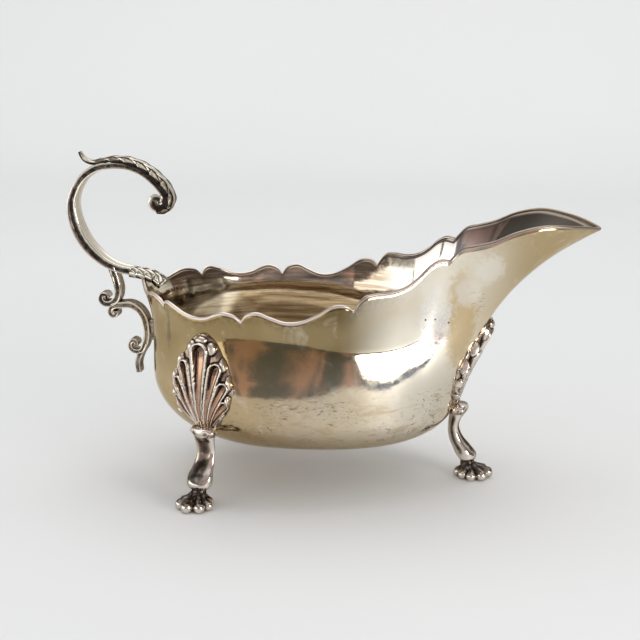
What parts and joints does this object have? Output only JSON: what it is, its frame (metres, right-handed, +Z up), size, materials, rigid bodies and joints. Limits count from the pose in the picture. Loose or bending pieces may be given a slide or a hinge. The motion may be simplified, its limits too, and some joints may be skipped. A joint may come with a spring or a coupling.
{
  "type": "sauce boat",
  "caption": "oval raised bowl with a scalloped wavy rim and a long lifted spout, a flying scroll handle with leaf caps, standing on shell-kneed legs with paw feet",
  "frame": {"origin": "bottom centre of the bounding box, on the table under the middle of the length", "axes": "+Z up, +X towards the spout, +Y to the boat's left; the XZ plane is the plane of symmetry"},
  "size_m": [0.1796, 0.0968, 0.1094],
  "materials": {
    "bowl": "worn polished silver with a warm tarnish",
    "handle": "cast silver, polished high spots with dark tarnish in the hollows",
    "leg": "cast silver, polished high spots with dark tarnish in the hollows",
    "foot": "cast silver, heavily tarnished between the toes"
  },
  "bodies": {
    "root": {"bowl": "bowl", "handle_scroll": "handle", "handle_leaf_cap": "handle", "handle_rim_leaf": "handle", "handle_strut": "handle", "handle_bracket": "handle", "front_leg": "leg", "front_foot": "foot", "front_shell_knee": "leg", "rear_left_leg": "leg", "rear_left_foot": "foot", "rear_left_shell_knee": "leg", "rear_right_leg": "leg", "rear_right_foot": "foot", "rear_right_shell_knee": "leg"}
  },
  "joints": []
}
